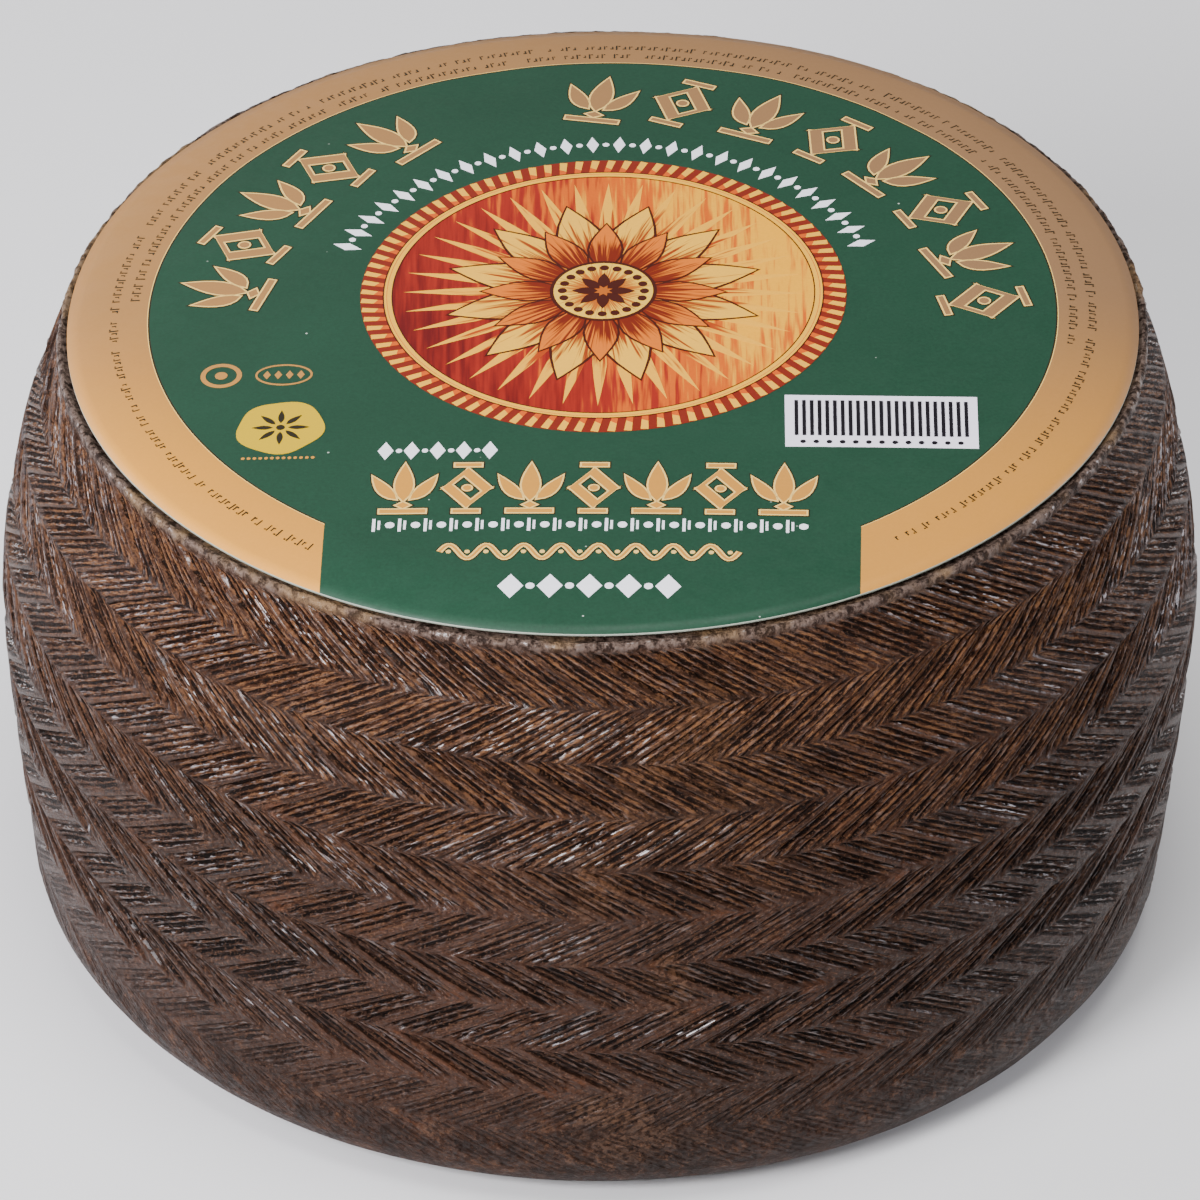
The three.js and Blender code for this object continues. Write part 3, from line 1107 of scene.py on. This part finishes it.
def rind_finish():
    """Aged oiled rind: worn strands whose grooves are darkened with painted shade, smooth webs, rusty
    patches, and glossy glints that are also painted lighter.
    """
    material, tree, shader = new_material("aged rind", srgb(48, 30, 21), 0.45)
    place = object_place(tree)
    space = attribute(tree, "strand_space", "Vector")
    rim = attribute(tree, "rim")
    x, y, z = split(space)
    turn_share = (x.math("ARCTAN2", y * -1) / TURN).math("FRACT")
    plait = plait_pattern(space, turn_share, z, PLAIT)
    upper = plait.rows_up.ramp(3.0, 9.5)

    def rind_noise(name, where):
        return noise(where, *RIND_NOISES[name])

    # Strands: crinkled grooves that widen, narrow and break off, between uneven ridges. They run on
    # faintly over the webs.
    grain = rind_noise("grain", squeezed(space, 0.9))
    crinkle = rind_noise("crinkle", squeezed(space, 0.7))
    strand = plait.strand + (crinkle - 0.5) * 0.7 + (grain - 0.5) * 0.7
    beside = (strand.math("FRACT") - 0.5).math("ABSOLUTE")
    width = rind_noise("width", squeezed(space, 0.5)).ramp(0.3, 0.7, -0.06, 0.26, smooth=False)
    flecks = rind_noise("flecks", squeezed(space, 0.75)) - 0.5
    relief = beside - width + flecks * 0.8
    cut = (plait.pressed + plait.in_rows * (upper * 0.15 + 0.2)).math("MINIMUM", 1.0)
    groove = relief.ramp(-0.07, 0.09, 1.0, 0.0) * cut
    ridge = relief.ramp(0.04, 0.20) * plait.pressed
    crest = relief.ramp(0.20, 0.34) * cut
    pits = rind_noise("pits", place)
    beads = rind_noise("beads", squeezed(space, 0.6)).ramp(0.50, 0.60)
    gloss_and_painted_glints = beads * ridge * plait.chance(23, 0.2, 1.0, plait.number)

    # Smooth webs with rusty patches, and darker prints between them
    broad = rind_noise("broad", place)
    rusty = rind_noise("rusty", squeezed(place, 1.6))
    rust = rusty.ramp(0.54, 0.70) * (0.8 - upper * 0.4) * crinkle.ramp(0.35, 0.6)
    web = painted(srgb(51, 31, 21), (broad.ramp(0.35, 0.68), srgb(39, 25, 18)), (rust, srgb(76, 44, 26)))
    specks = rind_noise("specks", place)

    # Lighter and warmer towards the top: partly the rind's own warmer tone, and partly painted light,
    # lighter on the upper rows and darker on the lower
    def by_height(low_ink, high_ink):
        return blended(tree, upper, srgb(*low_ink), srgb(*high_ink))

    color = painted(
        web,
        (plait.pressed * plait.chance(9, 0.4, 0.95), by_height((27, 16, 11), (56, 32, 18))),
        (crest * grain.ramp(0.36, 0.56), by_height((62, 42, 30), (104, 71, 46))),
        # Painted highlight: the thin line along each print's lower side is painted lighter
        (plait.line * flecks.ramp(-0.12, 0.08, 0.1, 0.8), by_height((66, 45, 34), (100, 66, 42))),
        # Painted shade: the grooves are painted near black
        (groove * 0.95, by_height((7, 4, 3), (17, 9, 6))),
        # Painted highlight: the glossy glints on the ridges are also lightened in colour
        (gloss_and_painted_glints * 0.25, srgb(104, 92, 90)),
        (specks.ramp(0.61, 0.68) * 0.5, srgb(92, 66, 50)),
        (specks.ramp(0.30, 0.40, 1.0, 0.0) * 0.6, srgb(14, 9, 7)),
        (pits.ramp(0.28, 0.42, 1.0, 0.0) * 0.6, srgb(18, 11, 8)),
    )

    # The smooth band under the plait is mottled, and darker all over and most in its hollows, which is
    # painted shade
    band = plait.rows_up.ramp(-0.6, 1.4, 1.0, 0.0)
    blots = rind_noise("blots", place)
    color = painted(
        color,
        (band * blots.ramp(0.38, 0.56, 0.9, 0.3), srgb(24, 15, 11)),
        (band * blots.ramp(0.56, 0.66) * 0.6, srgb(84, 58, 42)),
    )

    # Rim: rough and greyish, partly its own grey-brown and partly painted highlight on its raised crumbs,
    # with tan patches. Worn places lie all over the wheel.
    crumbs = rind_noise("crumbs", squeezed(place, 0.8))
    worn = rind_noise("worn", place)
    tan = worn.ramp(0.50, 0.60) * crumbs.ramp(0.40, 0.56, 0.3, 1.0)
    wear = worn.ramp(0.58, 0.70) * pits.ramp(0.40, 0.60) * (0.5 - band * 0.3)
    rough_rim_with_painted_highlights = painted(
        srgb(36, 26, 21),
        # Painted highlight: the raised crumbs of the rim are lightened to grey
        (crumbs.ramp(0.38, 0.60), srgb(98, 82, 73)),
        (tan, srgb(116, 92, 66)),
    )
    color = painted(color, (rim, rough_rim_with_painted_highlights), (wear, srgb(102, 70, 46)))

    # The webs have a soft sheen, and the glints on the ridges and the rim are wet
    roughness = pits.ramp(0.3, 0.7, 0.34, 0.5) + plait.pressed * 0.2
    sheen = (1 - plait.pressed) * plait.in_rows * pits.ramp(0.42, 0.6, 0.0, 0.26)
    coat = gloss_and_painted_glints + rim * crumbs.ramp(0.53, 0.61) * 0.7 + sheen
    height = (
        grain * (plait.pressed * (0.18 * MM) + 0.06 * MM)
        + flecks * plait.pressed * (0.22 * MM)
        + beads * ridge * (0.10 * MM)
        + plait.line * (0.10 * MM)
        + (pits + specks * 0.5) * (0.12 * MM)
        + blots * band * (0.3 * MM)
        + crumbs * rim * (0.8 * MM)
        - groove * (0.30 * MM)
    )
    normal = bumped(height, 1.0, 1.0)
    for name, value in (
        ("Base Color", color), ("Roughness", roughness), ("Coat Weight", coat), ("Normal", normal),
    ):
        plug(value, shader.inputs[name])
    shader.inputs["Coat Roughness"].default_value = 0.16
    shader.inputs["Specular IOR Level"].default_value = 0.05
    return material


# Stage

def make_floor():
    material, _, _ = new_material("pale floor", (0.85, 0.85, 0.85), 0.6)
    outline = box_outline(-FLOOR_HALF, FLOOR_HALF, -FLOOR_HALF, FLOOR_HALF)
    floor = new_object("floor", [(x, y, 0) for x, y in outline], (), [(0, 1, 2, 3)])
    floor.data.materials.append(material)


def add_light(name, place, target, size, power, color=(1, 1, 1)):
    data = bpy.data.lights.new(name, "AREA")
    data.shape = "DISK"
    data.size = size
    data.energy = power
    data.color = color
    light = add_object(name, data)
    light.location = place
    light.rotation_euler = (Vector(target) - Vector(place)).to_track_quat("-Z", "Y").to_euler()


def make_lights():
    add_light("key", (-0.5, -0.66, 0.6), (0, 0, 0.06), size=0.35, power=14, color=(0.97, 0.96, 1.0))
    add_light("low", (-0.55, -1.0, 0.14), (0, 0, 0.05), size=0.3, power=8, color=(0.92, 0.92, 1.0))
    add_light("top", (0.1, -0.25, 1.15), (0, 0, 0.06), size=0.6, power=8)
    add_light("back", (-0.5, 1.35, 0.65), (0, 0, 0.1), size=0.7, power=2)
    add_light("left", (-1.2, 0.35, 0.32), (0, 0, 0.05), size=0.7, power=16, color=(0.9, 0.9, 1.0))
    add_light("right", (1.2, 0.35, 0.32), (0, 0, 0.05), size=0.7, power=11, color=(0.9, 0.9, 1.0))
    world = bpy.data.worlds.new("studio")
    world.use_nodes = True
    background = world.node_tree.nodes["Background"]
    background.inputs["Color"].default_value = (1.0, 0.98, 0.96, 1)
    background.inputs["Strength"].default_value = 0.3
    bpy.context.scene.world = world


def make_camera():
    forward = Vector((0, math.cos(CAMERA_ELEVATION), -math.sin(CAMERA_ELEVATION)))
    data = bpy.data.cameras.new("camera")
    data.lens = CAMERA_LENS
    data.sensor_width = 36
    data.clip_start = 0.1
    camera = add_object("camera", data)
    camera.location = CAMERA_TARGET - forward * CAMERA_DISTANCE
    camera.rotation_euler = forward.to_track_quat("-Z", "Y").to_euler()
    bpy.context.scene.camera = camera


def add_piece(piece, slot_name, *nodes):
    """Says what a finished piece rides on, and the CAD nodes that it stands for, which it hides. Its slot
    name is not used.
    """
    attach(piece, "root")
    if nodes:
        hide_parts(*nodes)


make_camera()
make_lights()
make_floor()
MOTIFS = motif_tree()
PRINTED_PAPER = printed_paper_group()

INKS = make_inks()
add_piece(make_rind(rind_finish()), "rind", "cheese")
add_piece(make_label([INKS[name] for name in ("green", "gold", "pale", "dark", "paper")]), "label", "label")
for ornament in make_ornaments(INKS) + make_medallion(INKS):
    add_piece(ornament, "label")
